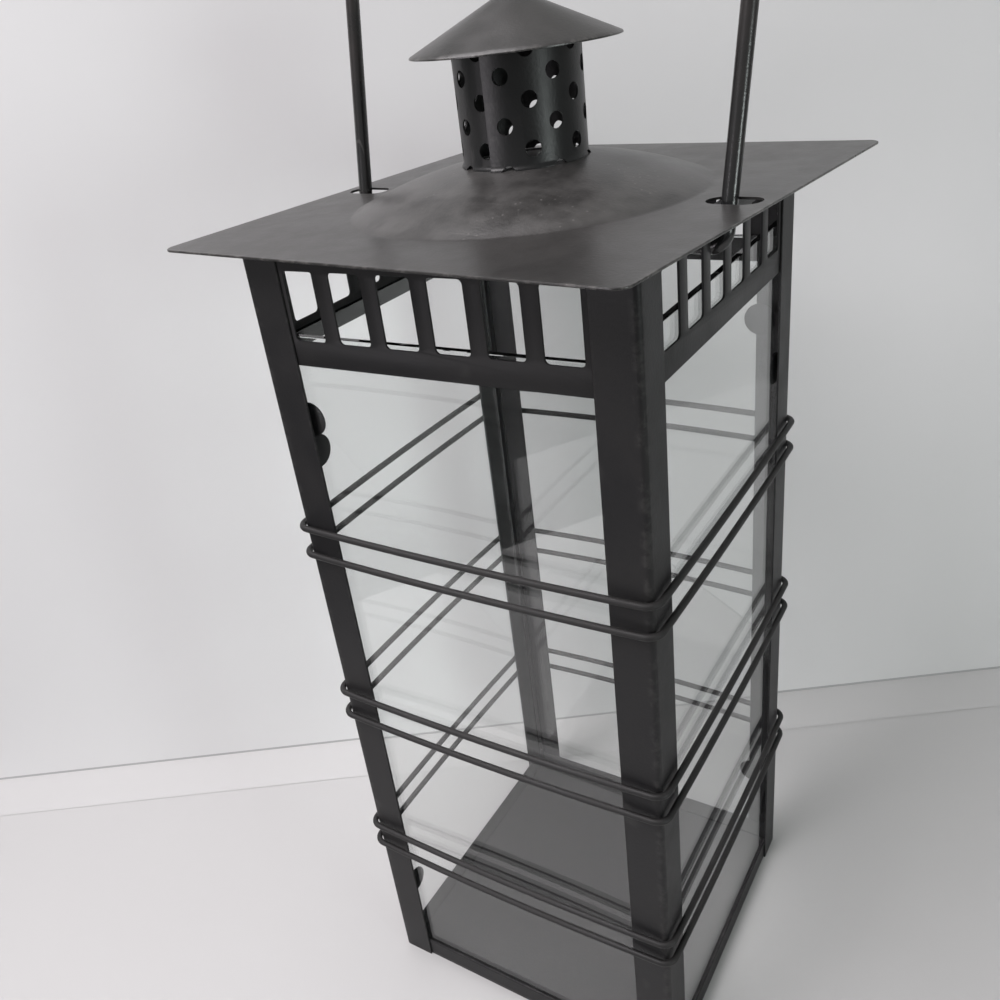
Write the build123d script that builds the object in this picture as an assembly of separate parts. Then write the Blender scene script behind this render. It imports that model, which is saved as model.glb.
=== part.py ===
from build123d import *
import os
from math import cos, radians, sin, sqrt, tan

os.makedirs("parts", exist_ok=True)

# All sizes are in millimetres. The lantern stands on z = 0 and its front faces -Y.

# Body frame of four folded corner posts on a shallow tray.
body_width = 178.0
body_height = 439.2
post_leg = 19.0
post_sheet = 1.0
post_fold = 2.5
tray_sheet = 1.0
tray_rim = 12.5
tray_corner = 2.0

# Slotted vent sheets that join the posts under the roof.
frieze_sheet = 1.0
frieze_height = 50.2
frieze_corner_gap = 1.5
slot_rail = 9.4
slot_height = 29.7
slot_width = 16.2
slot_pitch = 23.8
slot_shift = -0.4
slot_count = 6
slot_corner = 2.0

# Glass panes and the round spring clips that press on them.
glass = 3.0
glass_gap = 0.2
glass_edge = 0.4
clip_sheet = 0.8
clip_radius = 8.0
clip_tab = 8.0
clip_show = 4.8
clip_gap = 0.05
# Each pane: how far it laps behind the frieze, since the panes were cut to uneven heights.
glass_laps = {"front": 12.7, "right": 22.0, "rear": 12.7, "left": 8.0}
# Clips sit on two opposite posts. The front pane has an upper clip only.
clip_lows = {"right": 45.5, "rear": 59.5, "left": 45.5}
clip_drops = {"front": 27.0, "right": 49.0, "rear": 28.0, "left": 49.0}

# Wire bands in three pairs around the posts.
band_wire = 3.2
band_stand_off = 0.7
band_corner_gap = 0.08
# Each run bows out by its own amount, as hand-bent wire does.
band_bows = {"front": 2.0, "right": 0.8, "rear": 4.0, "left": 1.9}
band_heights = {
    "bottom_lower": 93.7,
    "bottom_upper": 107.4,
    "middle_lower": 190.6,
    "middle_upper": 205.8,
    "top_lower": 291.5,
    "top_upper": 306.1,
}

# Loose roof, which sits on the posts turned by a few degrees.
roof_seat_gap = 0.3
roof_overhang = 22.8
roof_sheet = 1.0
roof_corner = 5.5
roof_turn = -5.9
dome_radius = 77.7
dome_height = 16.3
dome_blend = 5.0
draught_radius = 23.0

# Perforated chimney with a lapped seam, and its conical cap.
tube_radius = 26.8
tube_sheet = 0.8
tube_lap = 14.0
tube_seam = -85.0
tube_flare = 1.7
tube_flare_rise = 2.6
hole_diameter = 6.5
hole_count = 8
hole_start = -1.43
hole_rise = 9.05
hole_rows = 6
hole_turn = 21.0
cap_radius = 43.2
cap_rise = 58.6
cap_height = 20.4
cap_sheet = 0.9
cap_tip = 8.0
cap_gap = 0.05

# Bail of round rod, hooked through a vent slot on each side, leaning back in the roof's slots.
rod = 6.4
bail_turn = -7.1
bail_lean = 10.0
bail_splay = 1.5
bail_left_reach = 11.7
bail_right_reach = 3.3
bail_foot_reach = 13.0
bail_bend = 6.4
bail_shoulder_height = 165.0
bail_shoulder = 60.0
bail_top_height = 185.0
bail_top = 200.0
hook_drop = 6.6
hook_set = -3.1
bail_slot_length = 22.0
bail_slot_width = 12.5
bail_slot_reach = 6.75
bail_clearance = 0.4

# Faces and heights that follow from the sizes above.
half = body_width / 2
leg_inside = half - post_sheet
frieze_bottom = body_height - frieze_height
slot_top = body_height - slot_rail
slot_bottom = slot_top - slot_height
glass_out = leg_inside - max(frieze_sheet, tray_sheet) - glass_gap
glass_in = glass_out - glass
glass_half = glass_in - clip_gap - clip_sheet - glass_edge
roof_width = body_width + 2 * roof_overhang
roof_bottom = body_height + roof_seat_gap
roof_top = roof_bottom + roof_sheet
ball = (dome_radius ** 2 + dome_height ** 2) / (2 * dome_height)
ball_centre = roof_top + dome_height - ball
tube_seat = ball_centre + sqrt(ball ** 2 - tube_radius ** 2)
cap_rim = roof_top + cap_rise
cap_apex = cap_rim + cap_height
cap_slope = cap_height / cap_radius
hook_height = slot_top - hook_drop
bail_left = -half - bail_left_reach
bail_right = half + bail_right_reach
bail_foot = half - bail_foot_reach

sides = {"front": 0, "right": 90, "rear": 180, "left": 270}
corners = {"front_left": 0, "front_right": 90, "rear_right": 180, "rear_left": 270}


def base_tray():
    outer = 2 * leg_inside
    inner = outer - 2 * tray_sheet
    tray = extrude(RectangleRounded(outer, outer, tray_corner), tray_rim)
    room = extrude(RectangleRounded(inner, inner, tray_corner - tray_sheet), tray_rim)
    return tray - Pos(0, 0, tray_sheet) * room


def corner_post():
    # An L section: one corner of a rounded square tube, folded from sheet.
    inside = 2 * leg_inside
    tube = RectangleRounded(body_width, body_width, post_fold)
    tube -= RectangleRounded(inside, inside, post_fold - post_sheet)
    reach = half - post_leg / 2
    corner = Pos(-reach, -reach) * Rectangle(post_leg, post_leg)
    return extrude(tube & corner, body_height)


def vent_frieze():
    width = 2 * (leg_inside - frieze_corner_gap)
    slot_rise = (slot_top + slot_bottom) / 2 - (body_height + frieze_bottom) / 2
    sheet = Rectangle(width, frieze_height)
    for i in range(slot_count):
        across = slot_shift + (i - (slot_count - 1) / 2) * slot_pitch
        sheet -= Pos(across, slot_rise) * RectangleRounded(slot_width, slot_height, slot_corner)
    upright = Rot(90, 0, 0) * extrude(sheet, frieze_sheet)
    return Pos(0, frieze_sheet - leg_inside, (body_height + frieze_bottom) / 2) * upright


def glass_pane(lap):
    height = frieze_bottom + lap - tray_sheet
    pane = Box(2 * glass_half, glass, height)
    return Pos(0, -(glass_in + glass_out) / 2, tray_sheet + height / 2) * pane


def glass_clip():
    # A disc that presses on the pane, with a tab to the side leg and a foot welded to that leg.
    face = glass_in - clip_gap
    middle = face - clip_sheet / 2
    disc_x = half - post_leg - clip_show + clip_radius
    disc = Pos(-disc_x, -middle, 0) * Rot(90, 0, 0) * Cylinder(clip_radius, clip_sheet)
    tab_long = leg_inside - disc_x
    tab = Pos(-(leg_inside + disc_x) / 2, -middle, 0) * Box(tab_long, clip_sheet, clip_tab)
    foot_end = leg_inside - post_fold + post_sheet - 0.3
    foot_long = foot_end - face + clip_sheet
    foot_y = (foot_end + face - clip_sheet) / 2
    foot = Pos(clip_sheet / 2 - leg_inside, -foot_y, 0) * Box(clip_sheet, foot_long, clip_tab)
    return disc + tab + foot


def clip_group(side):
    # The front left and rear right posts carry the clips, each for the two panes that meet there.
    clip = glass_clip()
    if side in ("left", "right"):
        clip = mirror(clip, about=Plane.YZ)
    heights = [frieze_bottom - clip_drops[side]]
    if side in clip_lows:
        heights.append(clip_lows[side])
    return Compound(children=[Rot(0, 0, sides[side]) * Pos(0, 0, z) * clip for z in heights])


def wire_band(height):
    # The corners lie against the posts and the runs bow away from them.
    reach = half + band_stand_off + band_wire / 2
    touch = post_fold + band_wire / 2 + band_stand_off * (2 + sqrt(2))
    bend = touch - band_corner_gap / (sqrt(2) - 1)
    runs = []
    for side, angle in sides.items():
        bow = ThreePointArc((-reach, -reach), (0, -reach - band_bows[side]), (reach, -reach))
        runs.append(Rot(0, 0, angle) * bow)
    outline = make_face(runs)
    path = fillet(outline.vertices(), bend).wire()
    return Pos(0, 0, height) * sweep((path ^ 0) * Circle(band_wire / 2), path=path)


def leg_at_roof():
    # How far behind the hook line the leaning legs cross the roof sheet.
    return ((roof_bottom + roof_top) / 2 - hook_height) * tan(radians(bail_lean))


def bail_slots():
    rear = leg_at_roof() + rod / 2 / cos(radians(bail_lean)) + roof_sheet / 2 * tan(radians(bail_lean))
    back = rear + bail_clearance - bail_slot_width / 2
    slot = extrude(SlotOverall(bail_slot_length, bail_slot_width), 3 * roof_sheet)
    place = Pos(0, hook_set, roof_bottom - roof_sheet) * Rot(0, 0, bail_turn)
    return [place * Pos(side * (half + bail_slot_reach), back, 0) * slot for side in (-1, 1)]


def roof_plate():
    sheet = Pos(0, 0, roof_bottom) * extrude(RectangleRounded(roof_width, roof_width, roof_corner), roof_sheet)
    above = Pos(0, 0, roof_bottom) * extrude(Circle(roof_width / 2), 2 * dome_height)
    roof = sheet + (above & (Pos(0, 0, ball_centre) * Sphere(ball)))
    roof -= Pos(0, 0, ball_centre) * Sphere(ball - roof_sheet)
    inner_radius = sqrt((ball - roof_sheet) ** 2 - (roof_bottom - ball_centre) ** 2)
    for radius, z in ((dome_radius, roof_top), (inner_radius, roof_bottom)):
        rings = roof.edges().filter_by(GeomType.CIRCLE)
        crease = [e for e in rings if abs(e.radius - radius) < 0.01 and abs(e.arc_center.Z - z) < 0.01]
        roof = fillet(crease, dome_blend)
    roof -= Pos(0, 0, roof_bottom) * extrude(Circle(draught_radius), 2 * dome_height)
    return Rot(0, 0, roof_turn) * roof - bail_slots()


def lapped_ring():
    # The rolled sheet: its outer end starts at the seam and its inner end runs on underneath.
    inner = tube_radius - 1.5 * tube_sheet
    first = Pos(tube_sheet / 2, 0) * (Circle(inner + 1.5 * tube_sheet) - Circle(inner + tube_sheet / 2))
    second = Circle(inner + tube_sheet) - Circle(inner)
    size = 3 * tube_radius
    lap_end = (size, size * tan(radians(tube_lap)))
    under = Pos(0, -size / 2) * Rectangle(2 * size, size) + make_face(Polyline((0, 0), (size, 0), lap_end, close=True))
    return (first & (Pos(0, size / 2) * Rectangle(2 * size, size))) + (second & under)


def chimney_tube():
    foot = ball_centre + sqrt(ball ** 2 - (tube_radius + tube_flare) ** 2) - 1.0
    top = cap_apex - cap_slope * (tube_radius + tube_sheet) - cap_sheet - cap_gap
    tube = Pos(0, 0, foot) * Rot(0, 0, tube_seam) * extrude(lapped_ring(), top - foot)
    rise = foot + 1.0 + tube_flare_rise
    inner = tube_radius - tube_sheet
    flare = make_face(Polyline(
        (inner, 0, foot), (tube_radius + tube_flare, 0, foot), (tube_radius + tube_flare, 0, foot + 1.4),
        (tube_radius + 0.3, 0, rise), (inner, 0, rise), close=True))
    tube += revolve(flare, Axis.Z)
    tube -= Pos(0, 0, ball_centre) * Sphere(ball + cap_gap)
    holes = []
    for row in range(hole_rows):
        stagger = 180 / hole_count * (row % 2)
        for i in range(hole_count):
            turn = Rot(0, 0, hole_turn - stagger + i * 360 / hole_count)
            drill = Rot(0, 90, 0) * Cylinder(hole_diameter / 2, 8)
            holes.append(turn * Pos(tube_radius, 0, tube_seat + hole_start + row * hole_rise) * drill)
    return Rot(0, 0, roof_turn) * (tube - holes)


def chimney_cap():
    outline = Polyline(
        (0, 0, cap_apex), (cap_radius, 0, cap_rim), (cap_radius, 0, cap_rim - cap_sheet),
        (0, 0, cap_apex - cap_sheet), close=True)
    cap = revolve(make_face(outline), Axis.Z)
    ball_drop = cap_tip * (sqrt(1 + cap_slope ** 2) - 1)
    tip_reach = cap_tip * cap_slope / sqrt(1 + cap_slope ** 2)
    tip_z = cap_apex - cap_slope * tip_reach
    nib = Pos(0, 0, tip_z) * extrude(Circle(tip_reach), cap_tip)
    rounded = Pos(0, 0, cap_apex - ball_drop - cap_tip) * Sphere(cap_tip)
    return cap - (nib - rounded)


def bail_handle():
    # Drawn upright in its own plane, then leaned back and turned at the hooks.
    spread = bail_shoulder_height * tan(radians(bail_splay))
    path = FilletPolyline(
        (-bail_foot, 0, 0), (bail_left, 0, 0), (bail_left - spread, 0, bail_shoulder_height),
        ((bail_left + bail_right) / 2, 0, bail_top_height),
        (bail_right + spread, 0, bail_shoulder_height), (bail_right, 0, 0), (bail_foot, 0, 0),
        radius=[bail_bend, bail_shoulder, bail_top, bail_shoulder, bail_bend])
    section = Plane(origin=(-bail_foot, 0, 0), z_dir=(-1, 0, 0)) * Circle(rod / 2)
    bail = sweep(section, path=path)
    return Pos(0, hook_set, hook_height) * Rot(0, 0, bail_turn) * Rot(-bail_lean, 0, 0) * bail


export_step(base_tray(), "parts/base_tray.step")
for name, angle in corners.items():
    export_step(Rot(0, 0, angle) * corner_post(), f"parts/{name}_post.step")
for name, angle in sides.items():
    export_step(Rot(0, 0, angle) * vent_frieze(), f"parts/{name}_vent_frieze.step")
    export_step(Rot(0, 0, angle) * glass_pane(glass_laps[name]), f"parts/{name}_glass_pane.step")
    export_step(clip_group(name), f"parts/{name}_glass_clips.step")
for name, height in band_heights.items():
    export_step(wire_band(height), f"parts/{name}_band.step")
export_step(roof_plate(), "parts/roof_plate.step")
export_step(chimney_tube(), "parts/chimney_tube.step")
export_step(chimney_cap(), "parts/chimney_cap.step")
export_step(bail_handle(), "parts/bail_handle.step")
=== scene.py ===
# %% [markdown]
# A candle lantern of black sheet metal and glass.
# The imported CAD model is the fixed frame: it says where each piece is and what moves with what.
# Each sheet, rod and pane is then made again as a finer mesh with a finish of its own.
# Blender works in metres. The lantern is written in millimetres and multiplied by mm, the room in metres.

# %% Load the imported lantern
from math import cos, hypot, pi, radians, sin, sqrt, tan

import bmesh
import bpy
from mathutils import Matrix, Vector


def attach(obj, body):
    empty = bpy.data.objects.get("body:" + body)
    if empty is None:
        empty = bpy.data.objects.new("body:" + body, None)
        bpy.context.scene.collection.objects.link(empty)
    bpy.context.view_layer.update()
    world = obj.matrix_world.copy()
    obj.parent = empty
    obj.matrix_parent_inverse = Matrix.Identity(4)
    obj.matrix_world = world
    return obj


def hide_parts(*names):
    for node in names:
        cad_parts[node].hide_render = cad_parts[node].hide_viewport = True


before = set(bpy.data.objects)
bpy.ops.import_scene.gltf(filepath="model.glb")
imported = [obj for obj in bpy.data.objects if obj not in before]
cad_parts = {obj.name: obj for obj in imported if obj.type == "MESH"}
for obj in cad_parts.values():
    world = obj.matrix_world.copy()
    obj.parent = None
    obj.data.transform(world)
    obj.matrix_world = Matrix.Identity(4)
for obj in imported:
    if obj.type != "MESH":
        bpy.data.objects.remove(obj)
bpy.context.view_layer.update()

mm = 0.001

# %% [markdown]
# The camera looks down on the lantern from the front right.
# Its place was worked out from straight edges of the lantern whose lengths are known.
# A small lens shift sets the framing, so that the camera's own turn stays as measured.

# %% Camera
scene = bpy.context.scene
scene.view_settings.view_transform = "Standard"
lens = bpy.data.cameras.new("front_right_view")
lens.sensor_width = 36
lens.lens = 34.1005
lens.shift_x = 0.018643
lens.shift_y = 0.004818
camera = bpy.data.objects.new("front_right_view", lens)
camera.location = (0.2132103, -0.3652683, 0.5200938)
camera.rotation_euler = [radians(angle) for angle in (61.39699, 7.03245, 31.76589)]
scene.collection.objects.link(camera)
scene.camera = camera
print("camera at", tuple(round(c, 3) for c in camera.location))

# %% [markdown]
# Materials are networks of nodes.
# One small helper adds a node, sets its options and fills or links its inputs.
# Three more make the nodes that come up most, so that each network below reads as a list of steps.

# %% Helpers for nodes
def add_node(tree, kind, links=None, **options):
    node = tree.nodes.new(kind)
    for option, value in options.items():
        setattr(node, option, value)
    for socket, value in (links or {}).items():
        if isinstance(value, bpy.types.NodeSocket):
            tree.links.new(value, node.inputs[socket])
        else:
            node.inputs[socket].default_value = value
    return node


def maths(tree, operation, *values):
    return add_node(tree, "ShaderNodeMath", dict(enumerate(values)), operation=operation).outputs[0]


def noise(tree, place, scale, detail, rough=0.5):
    return add_node(tree, "ShaderNodeTexNoise", {
        "Vector": place, "Scale": scale, "Detail": detail, "Roughness": rough}).outputs["Fac"]


def blend(tree, amount, first, second):
    return add_node(tree, "ShaderNodeMix", {0: amount, 6: first, 7: second}, data_type="RGBA").outputs[2]


def new_material(name):
    material = bpy.data.materials.new(name)
    material.use_nodes = True
    material.node_tree.nodes.clear()
    return material, material.node_tree

# %% [markdown]
# The lantern stands on a pale table board with a second board upright behind it.
# Both are a slightly uneven matt white, and neither is much larger than the picture shows.
# So the lower glass and metal mirror the board, and the upper parts mirror the dim room beyond it.
# A thin grey strip of painted shade, for the shadow in the gap where the boards meet, and a paler strip run along
# the foot of the upright board.
# Upright faces are clear when they are seen from behind, so they never hide the lantern.

# %% Floor and backdrop
wall_turn, wall_distance, wall_height = radians(33.2), 0.1665, 0.6
left_reach, right_reach = 0.51, 1.2
floor_depth = 0.9
strip_depth, strip_lift = 0.042, 0.0003
shade_line_height, shade_line_gap = 0.0022, 0.0006
along = Vector((cos(wall_turn), sin(wall_turn), 0))
forward = Vector((along.y, -along.x, 0))
upward = Vector((0, 0, 1))
left_end = forward * -wall_distance - along * left_reach
right_end = forward * -wall_distance + along * right_reach


def board_material(name, dull, bright, see_through_behind):
    material, tree = new_material(name)
    place = add_node(tree, "ShaderNodeTexCoord").outputs["Object"]
    tone = blend(tree, noise(tree, place, 3.0, 2.0), dull, bright)
    surface = add_node(tree, "ShaderNodeBsdfPrincipled", {"Base Color": tone, "Roughness": 0.75}).outputs[0]
    if see_through_behind:
        back = add_node(tree, "ShaderNodeNewGeometry").outputs["Backfacing"]
        clear = add_node(tree, "ShaderNodeBsdfTransparent").outputs[0]
        surface = add_node(tree, "ShaderNodeMixShader", {0: back, 1: surface, 2: clear}).outputs[0]
    add_node(tree, "ShaderNodeOutputMaterial", {"Surface": surface})
    return material


def add_board(name, offset, reach, upright, material):
    # The order of the corners turns an upright face to the front and a flat one up.
    left, right = left_end + offset, right_end + offset
    others = [right, right + reach, left + reach]
    mesh = bpy.data.meshes.new(name)
    mesh.from_pydata([left] + (others if upright else others[::-1]), [], [(0, 1, 2, 3)])
    mesh.materials.append(material)
    board = bpy.data.objects.new(name, mesh)
    scene.collection.objects.link(board)
    print(name, "reaches", round(reach.length, 4), "m")


floor_white = board_material("floor_white", (0.525, 0.518, 0.515, 1), (0.57, 0.568, 0.563, 1), False)
backdrop_white = board_material("backdrop_white", (0.72, 0.716, 0.718, 1), (0.755, 0.755, 0.752, 1), True)
strip_white = board_material("strip_white", (0.558, 0.551, 0.548, 1), (0.603, 0.601, 0.596, 1), False)
# This grey is painted shade: it stands for the shadow in the gap where the boards meet.
painted_shade_grey = board_material("painted_shade_grey", (0.42, 0.42, 0.42, 1), (0.46, 0.46, 0.46, 1), True)
here = Vector((0, 0, 0))
add_board("floor_board", here, forward * floor_depth, False, floor_white)
add_board("back_board", here, upward * wall_height, True, backdrop_white)
add_board("foot_strip", upward * strip_lift, forward * strip_depth, False, strip_white)
# A thin grey strip just in front of the upright board's foot is the painted shade where the boards meet.
add_board("wall_joint", forward * shade_line_gap, upward * shade_line_height, True, painted_shade_grey)

# %% [markdown]
# Soft studio light: a key lamp and a top lamp at the left, and a small window low at each side.
# Area lamps are used, because their size sets how soft a shadow or a reflection is.
# The right window draws the bright stripe up the chimney.
# The left one lifts the front faces and the metal beside the chimney's seam.

# %% Lamps
def soft_lamp(name, place, aim, size, watts, tint):
    lamp = bpy.data.lights.new(name, "AREA")
    lamp.shape = "DISK"
    lamp.size = size
    lamp.energy = watts
    lamp.color = tint
    holder = bpy.data.objects.new(name, lamp)
    holder.location = place
    holder.rotation_euler = (Vector(aim) - Vector(place)).to_track_quat("-Z", "Y").to_euler()
    scene.collection.objects.link(holder)


soft_lamp("key_lamp", (-0.45, -0.87, 1.6), (0, 0, 0.3), 0.9, 17.5, (1.0, 0.955, 0.985))
soft_lamp("top_lamp", (-0.35, -0.13, 1.35), (0, 0, 0.3), 0.9, 8, (1.0, 0.955, 0.985))
soft_lamp("right_window", (1.4, -0.4, 0.38), (0, 0, 0.45), 0.36, 3.8, (0.92, 1.0, 0.985))
soft_lamp("left_window", (-0.45, -1.1, 0.34), (0, 0, 0.45), 0.4, 2.4, (1.0, 0.94, 1.0))

# %% [markdown]
# The room is a grey world with a dark floor, and it is what the dome and the cap mirror.
# Seen past the boards, straight or through glass, it is as pale as they are.
# One plain colour would do for the picture's background, but it would also light the inside of the lantern.
# So a ray that has bounced off something first gets the dim room.

# %% World
world = bpy.data.worlds.new("grey_room")
scene.world = world
world.use_nodes = True
room = world.node_tree
room.nodes.clear()
rays = add_node(room, "ShaderNodeLightPath").outputs
bounces = maths(room, "ADD", rays["Glossy Depth"], rays["Diffuse Depth"])
through = maths(room, "MULTIPLY", rays["Is Transmission Ray"], maths(room, "LESS_THAN", bounces, 0.5))
seen = maths(room, "MAXIMUM", rays["Is Camera Ray"], through)
direction = add_node(room, "ShaderNodeTexCoord").outputs["Generated"]
outlook = add_node(room, "ShaderNodeSeparateXYZ", {0: direction})
height = add_node(room, "ShaderNodeMapRange", {
    "Value": outlook.outputs["Z"], "From Min": -0.35, "From Max": 0.05})
dim = blend(room, height.outputs["Result"], (0.03, 0.03, 0.03, 1), (0.333, 0.345, 0.34, 1))
tone = blend(room, seen, dim, (0.72, 0.725, 0.725, 1))
sky = add_node(room, "ShaderNodeBackground", {"Color": tone, "Strength": 1.0})
add_node(room, "ShaderNodeOutputWorld", {"Surface": sky.outputs[0]})
print("world nodes:", len(room.nodes))

# %% [markdown]
# The black paint has three effects that several finishes share, so each is a node group.
# The first is the paint's own unevenness: slow cloudy tints, and a fine grain like that of a sprayed coat.

# %% Group: sprayed paint
def new_group(name, inputs, outputs):
    group = bpy.data.node_groups.new(name, "ShaderNodeTree")
    for in_out, sockets in (("INPUT", inputs), ("OUTPUT", outputs)):
        for socket, kind in sockets.items():
            group.interface.new_socket(name=socket, in_out=in_out, socket_type="NodeSocket" + kind)
    return group, add_node(group, "NodeGroupInput").outputs


def spread(tree, value, low, high):
    # Stretches the part of a value between low and high over 0 to 1, with soft ends.
    return add_node(tree, "ShaderNodeMapRange", {"Value": value, "From Min": low, "From Max": high},
                    interpolation_type="SMOOTHSTEP").outputs["Result"]


def times(tree, a, b):
    return maths(tree, "MULTIPLY", a, b)


sprayed_paint, given = new_group("sprayed_paint", {"Coordinates": "Vector"}, {"Cloud": "Float", "Grain": "Float"})
add_node(sprayed_paint, "NodeGroupOutput", {
    "Cloud": spread(sprayed_paint, noise(sprayed_paint, given["Coordinates"], 17, 5, 0.62), 0.36, 0.66),
    "Grain": spread(sprayed_paint, noise(sprayed_paint, given["Coordinates"], 750, 3, 0.6), 0.3, 0.7)})
print("group:", sprayed_paint.name)

# %% [markdown]
# The second effect is what has settled or rubbed on the paint.
# A film and pale specks of dust lie on faces that look up, and thin scuffs lie anywhere.
# Specks are the middles of scattered cells, and scuffs are noise that is stretched along one direction.

# %% Group: dust and scuffs
settled_dust, given = new_group(
    "settled_dust", {"Coordinates": "Vector"}, {"Specks": "Float", "Film": "Float", "Scuffs": "Float"})
place = given["Coordinates"]
normal = add_node(settled_dust, "ShaderNodeNewGeometry").outputs["Normal"]
level = add_node(settled_dust, "ShaderNodeSeparateXYZ", {0: normal}).outputs["Z"]
facing_up = spread(settled_dust, level, 0.3, 0.85)
few = spread(settled_dust, noise(settled_dust, place, 60, 2), 0.5, 0.62)
cells = add_node(settled_dust, "ShaderNodeTexVoronoi", {"Vector": place, "Scale": 330, "Randomness": 1})
dots = times(settled_dust, spread(settled_dust, cells.outputs["Distance"], 0.2, 0.08), few)
film = spread(settled_dust, noise(settled_dust, place, 80, 5, 0.6), 0.25, 0.75)
drawn = add_node(settled_dust, "ShaderNodeMapping", {
    "Vector": place, "Rotation": (0, 0, 0.55), "Scale": (40, 1500, 40)})
lines = spread(settled_dust, noise(settled_dust, drawn.outputs[0], 1, 1), 0.66, 0.74)
add_node(settled_dust, "NodeGroupOutput", {
    "Specks": times(settled_dust, dots, facing_up),
    "Film": times(settled_dust, film, facing_up),
    "Scuffs": times(settled_dust, lines, few)})
print("group:", settled_dust.name)

# %% [markdown]
# The third effect is wear along edges and folds, where hands and the floor rub the paint thin.
# A shader can find edges by itself, but what it finds depends on how fine the mesh is.
# So sheet meshes carry an attribute named wear, near 1 on an edge and 0 on the flats, and noise breaks it up.

# %% Group: worn edges
worn_edges, given = new_group("worn_edges", {"Coordinates": "Vector", "Edge": "Float"}, {"Worn": "Float"})
chips = spread(worn_edges, noise(worn_edges, given["Coordinates"], 210, 4, 0.65), 0.44, 0.66)
add_node(worn_edges, "NodeGroupOutput", {"Worn": times(worn_edges, given["Edge"], chips)})
print("group:", worn_edges.name)

# %% [markdown]
# Each black finish is one Principled shader that mixes the three groups in its own amounts.
# It isn't set to metallic, because the coat hides the metal.
# An attribute named dusty adds dust where a mesh asks for more of it, as on the dome.

# %% Shader for black paint
extra_dust = 0.28
film_colour = (0.15, 0.145, 0.14, 1)
speck_colour = (0.26, 0.25, 0.24, 1)
scuff_colour = (0.3, 0.29, 0.28, 1)
# Rubbed paint; on the chimney's seam this colour also paints a highlight strip.
rubbed_colour = (0.2, 0.19, 0.18, 1)


def black_finish(name, paint, tint, gloss, uneven, shine, dust, scuffs, wear):
    material, tree = new_material(name)
    place = add_node(tree, "ShaderNodeTexCoord").outputs["Object"]
    groups = {}
    for group in (sprayed_paint, settled_dust, worn_edges):
        holder = add_node(tree, "ShaderNodeGroup", node_tree=group)
        tree.links.new(place, holder.inputs["Coordinates"])
        groups[group.name] = holder
    edge = add_node(tree, "ShaderNodeAttribute", attribute_name="wear").outputs["Fac"]
    tree.links.new(edge, groups["worn_edges"].inputs["Edge"])
    cloud, grain = groups["sprayed_paint"].outputs
    specks, film, scuff = groups["settled_dust"].outputs
    worn = groups["worn_edges"].outputs[0]
    dusty = add_node(tree, "ShaderNodeAttribute", attribute_name="dusty").outputs["Fac"]
    dust = maths(tree, "MULTIPLY_ADD", dusty, extra_dust, dust)
    colour = blend(tree, cloud, paint, tint)
    colour = blend(tree, times(tree, film, dust), colour, film_colour)
    colour = blend(tree, times(tree, specks, dust), colour, speck_colour)
    colour = blend(tree, times(tree, scuff, scuffs), colour, scuff_colour)
    colour = blend(tree, times(tree, worn, wear), colour, rubbed_colour)
    rough = add_node(tree, "ShaderNodeMapRange", {
        "Value": cloud, "To Min": gloss - uneven, "To Max": gloss + uneven}).outputs["Result"]
    rough = maths(tree, "MULTIPLY_ADD", film, 2 * uneven, rough)
    bump = add_node(tree, "ShaderNodeBump", {"Height": grain, "Strength": 0.12, "Distance": 0.0002})
    surface = add_node(tree, "ShaderNodeBsdfPrincipled", {
        "Base Color": colour, "Roughness": rough, "Specular IOR Level": shine, "Normal": bump.outputs[0]})
    add_node(tree, "ShaderNodeOutputMaterial", {"Surface": surface.outputs[0]})
    print("finish:", name, "nodes:", len(tree.nodes))
    return material

# %% [markdown]
# Five finishes come out of that one function.
# The folded sheets and the band wire are matt, and the roof is dustier because it looks up.
# The chimney's seam is the most rubbed, partly real wear and partly a painted highlight beside the seam, and the
# bail is worn smooth by hands.

# %% Black finishes
sheet_black = black_finish(
    "sheet_black", (0.0138, 0.0136, 0.0144, 1), (0.0186, 0.0178, 0.018, 1),
    gloss=0.46, uneven=0.05, shine=0.25, dust=0.02, scuffs=0.05, wear=0.1)
roof_black = black_finish(
    "roof_black", (0.028, 0.027, 0.0263, 1), (0.034, 0.0323, 0.0312, 1),
    gloss=0.3, uneven=0.03, shine=0.5, dust=0.06, scuffs=0.1, wear=0.4)
# The chimney's wear amount also sets the painted highlight strip beside its seam.
chimney_black = black_finish(
    "chimney_black", (0.01, 0.01, 0.0105, 1), (0.0135, 0.013, 0.013, 1),
    gloss=0.38, uneven=0.04, shine=0.4, dust=0.02, scuffs=0.05, wear=0.5)
wire_black = black_finish(
    "wire_black", (0.014, 0.0135, 0.0137, 1), (0.019, 0.018, 0.0178, 1),
    gloss=0.5, uneven=0.05, shine=0.35, dust=0.05, scuffs=0.05, wear=0.1)
rod_black = black_finish(
    "rod_black", (0.0105, 0.0105, 0.011, 1), (0.019, 0.0145, 0.0135, 1),
    gloss=0.28, uneven=0.05, shine=0.65, dust=0.03, scuffs=0.1, wear=0.1)

# %% [markdown]
# The panes are thin clear float glass.
# The shader is plain transmission with a trace of smudge in its roughness.
# A glass shader alone would throw dark shadows, as a thin pane doesn't, and keep the lamps from the inside.
# So shadow rays pass straight through.

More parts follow.
